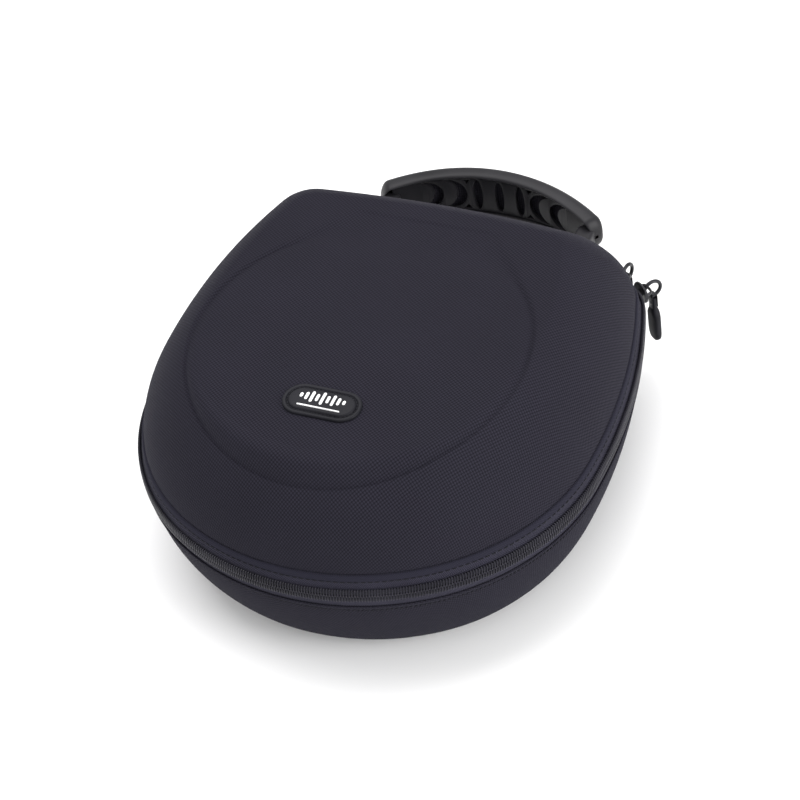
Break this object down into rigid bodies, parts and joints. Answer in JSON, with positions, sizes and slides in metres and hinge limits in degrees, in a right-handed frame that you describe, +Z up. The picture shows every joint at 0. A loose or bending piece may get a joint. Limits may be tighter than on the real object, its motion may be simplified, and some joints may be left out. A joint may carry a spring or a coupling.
{
  "type": "headphone carrying case",
  "caption": "Rounded zip-up hard carrying case for headphones: moulded fabric shells, coil zip with two pulls, curved carrying handle, mesh pocket in the lid.",
  "frame": {"origin": "bottom centre of the whole object, case and handle together", "axes": "+Z up, +Y from the front of the case towards the hinge and handle, +X to the right"},
  "size_m": [0.2388, 0.2989, 0.1175],
  "materials": {
    "shell_fabric": "black twill nylon bonded over moulded foam",
    "lining": "brushed knit lining",
    "zip_tape": "herringbone zip tape",
    "zip_teeth": "black nylon coil",
    "piping": "woven binding",
    "webbing": "woven nylon webbing",
    "soft_rubber": "matt soft PVC",
    "badge_mark": "printed white",
    "net": "open elastic net",
    "elastic": "ribbed elastic",
    "grip": "satin moulded",
    "black_metal": "satin black",
    "eyelet": "dark nickel"
  },
  "bodies": {
    "base": {"base_shell": "shell_fabric", "base_lining": "lining", "base_zip_tape": "zip_tape", "base_zip_chain": "zip_teeth", "base_piping": "piping", "base_hinge_strip": "webbing", "zip_stops": "webbing", "handle_anchor_left": "webbing", "handle_anchor_right": "webbing"},
    "lid": {"lid_shell": "shell_fabric", "lid_lining": "lining", "lid_zip_tape": "zip_tape", "lid_zip_chain": "zip_teeth", "lid_piping": "piping", "lid_hinge_strip": "webbing", "badge_plate": "soft_rubber", "badge_mark": "badge_mark", "pocket_net": "net", "pocket_edging": "elastic"},
    "handle": {"handle_grip": "grip", "handle_webbing": "webbing", "handle_cover": "grip", "handle_feet": "grip"},
    "front_slider": {"front_slider_body": "black_metal", "front_slider_bridge": "black_metal"},
    "front_ring": {"front_slider_ring": "black_metal"},
    "front_pull_tab": {"front_pull": "soft_rubber", "front_pull_eyelet": "eyelet"},
    "rear_slider": {"rear_slider_body": "black_metal", "rear_slider_bridge": "black_metal"},
    "rear_ring": {"rear_slider_ring": "black_metal"},
    "rear_pull_tab": {"rear_pull": "soft_rubber", "rear_pull_eyelet": "eyelet"}
  },
  "joints": [
    {"name": "lid_hinge", "type": "hinge", "parent": "base", "child": "lid", "pos_m": [0, 0.1054, 0.0575], "axis": [-1, 0, 0], "range_deg": [0, 80]},
    {"name": "handle_fold", "type": "hinge", "parent": "base", "child": "handle", "pos_m": [0, 0.1054, 0.0575], "axis": [-1, 0, 0], "range_deg": [-15, 60]},
    {"name": "front_slider_run", "type": "hinge", "parent": "base", "child": "front_slider", "pos_m": [0.07531, 0.06471, 0.0575], "axis": [0, 0, -1], "range_deg": [0, 30]},
    {"name": "front_ring_lift", "type": "hinge", "parent": "front_slider", "child": "front_ring", "pos_m": [0.09922, 0.09222, 0.0575], "axis": [0.7547, -0.6561, 0], "range_deg": [0, 65]},
    {"name": "front_pull_swing", "type": "hinge", "parent": "front_ring", "child": "front_pull_tab", "pos_m": [0.10057, 0.09377, 0.05155], "axis": [-0.6561, -0.7547, 0], "range_deg": [-8, 40]},
    {"name": "rear_slider_run", "type": "hinge", "parent": "base", "child": "rear_slider", "pos_m": [0.07531, 0.06471, 0.0575], "axis": [0, 0, 1], "range_deg": [0, 7]},
    {"name": "rear_ring_lift", "type": "hinge", "parent": "rear_slider", "child": "rear_ring", "pos_m": [0.08382, 0.10015, 0.0575], "axis": [0.9724, -0.2334, 0], "range_deg": [0, 65]},
    {"name": "rear_pull_swing", "type": "hinge", "parent": "rear_ring", "child": "rear_pull_tab", "pos_m": [0.0843, 0.10215, 0.05155], "axis": [0.2334, 0.9724, 0], "range_deg": [-8, 40]}
  ]
}
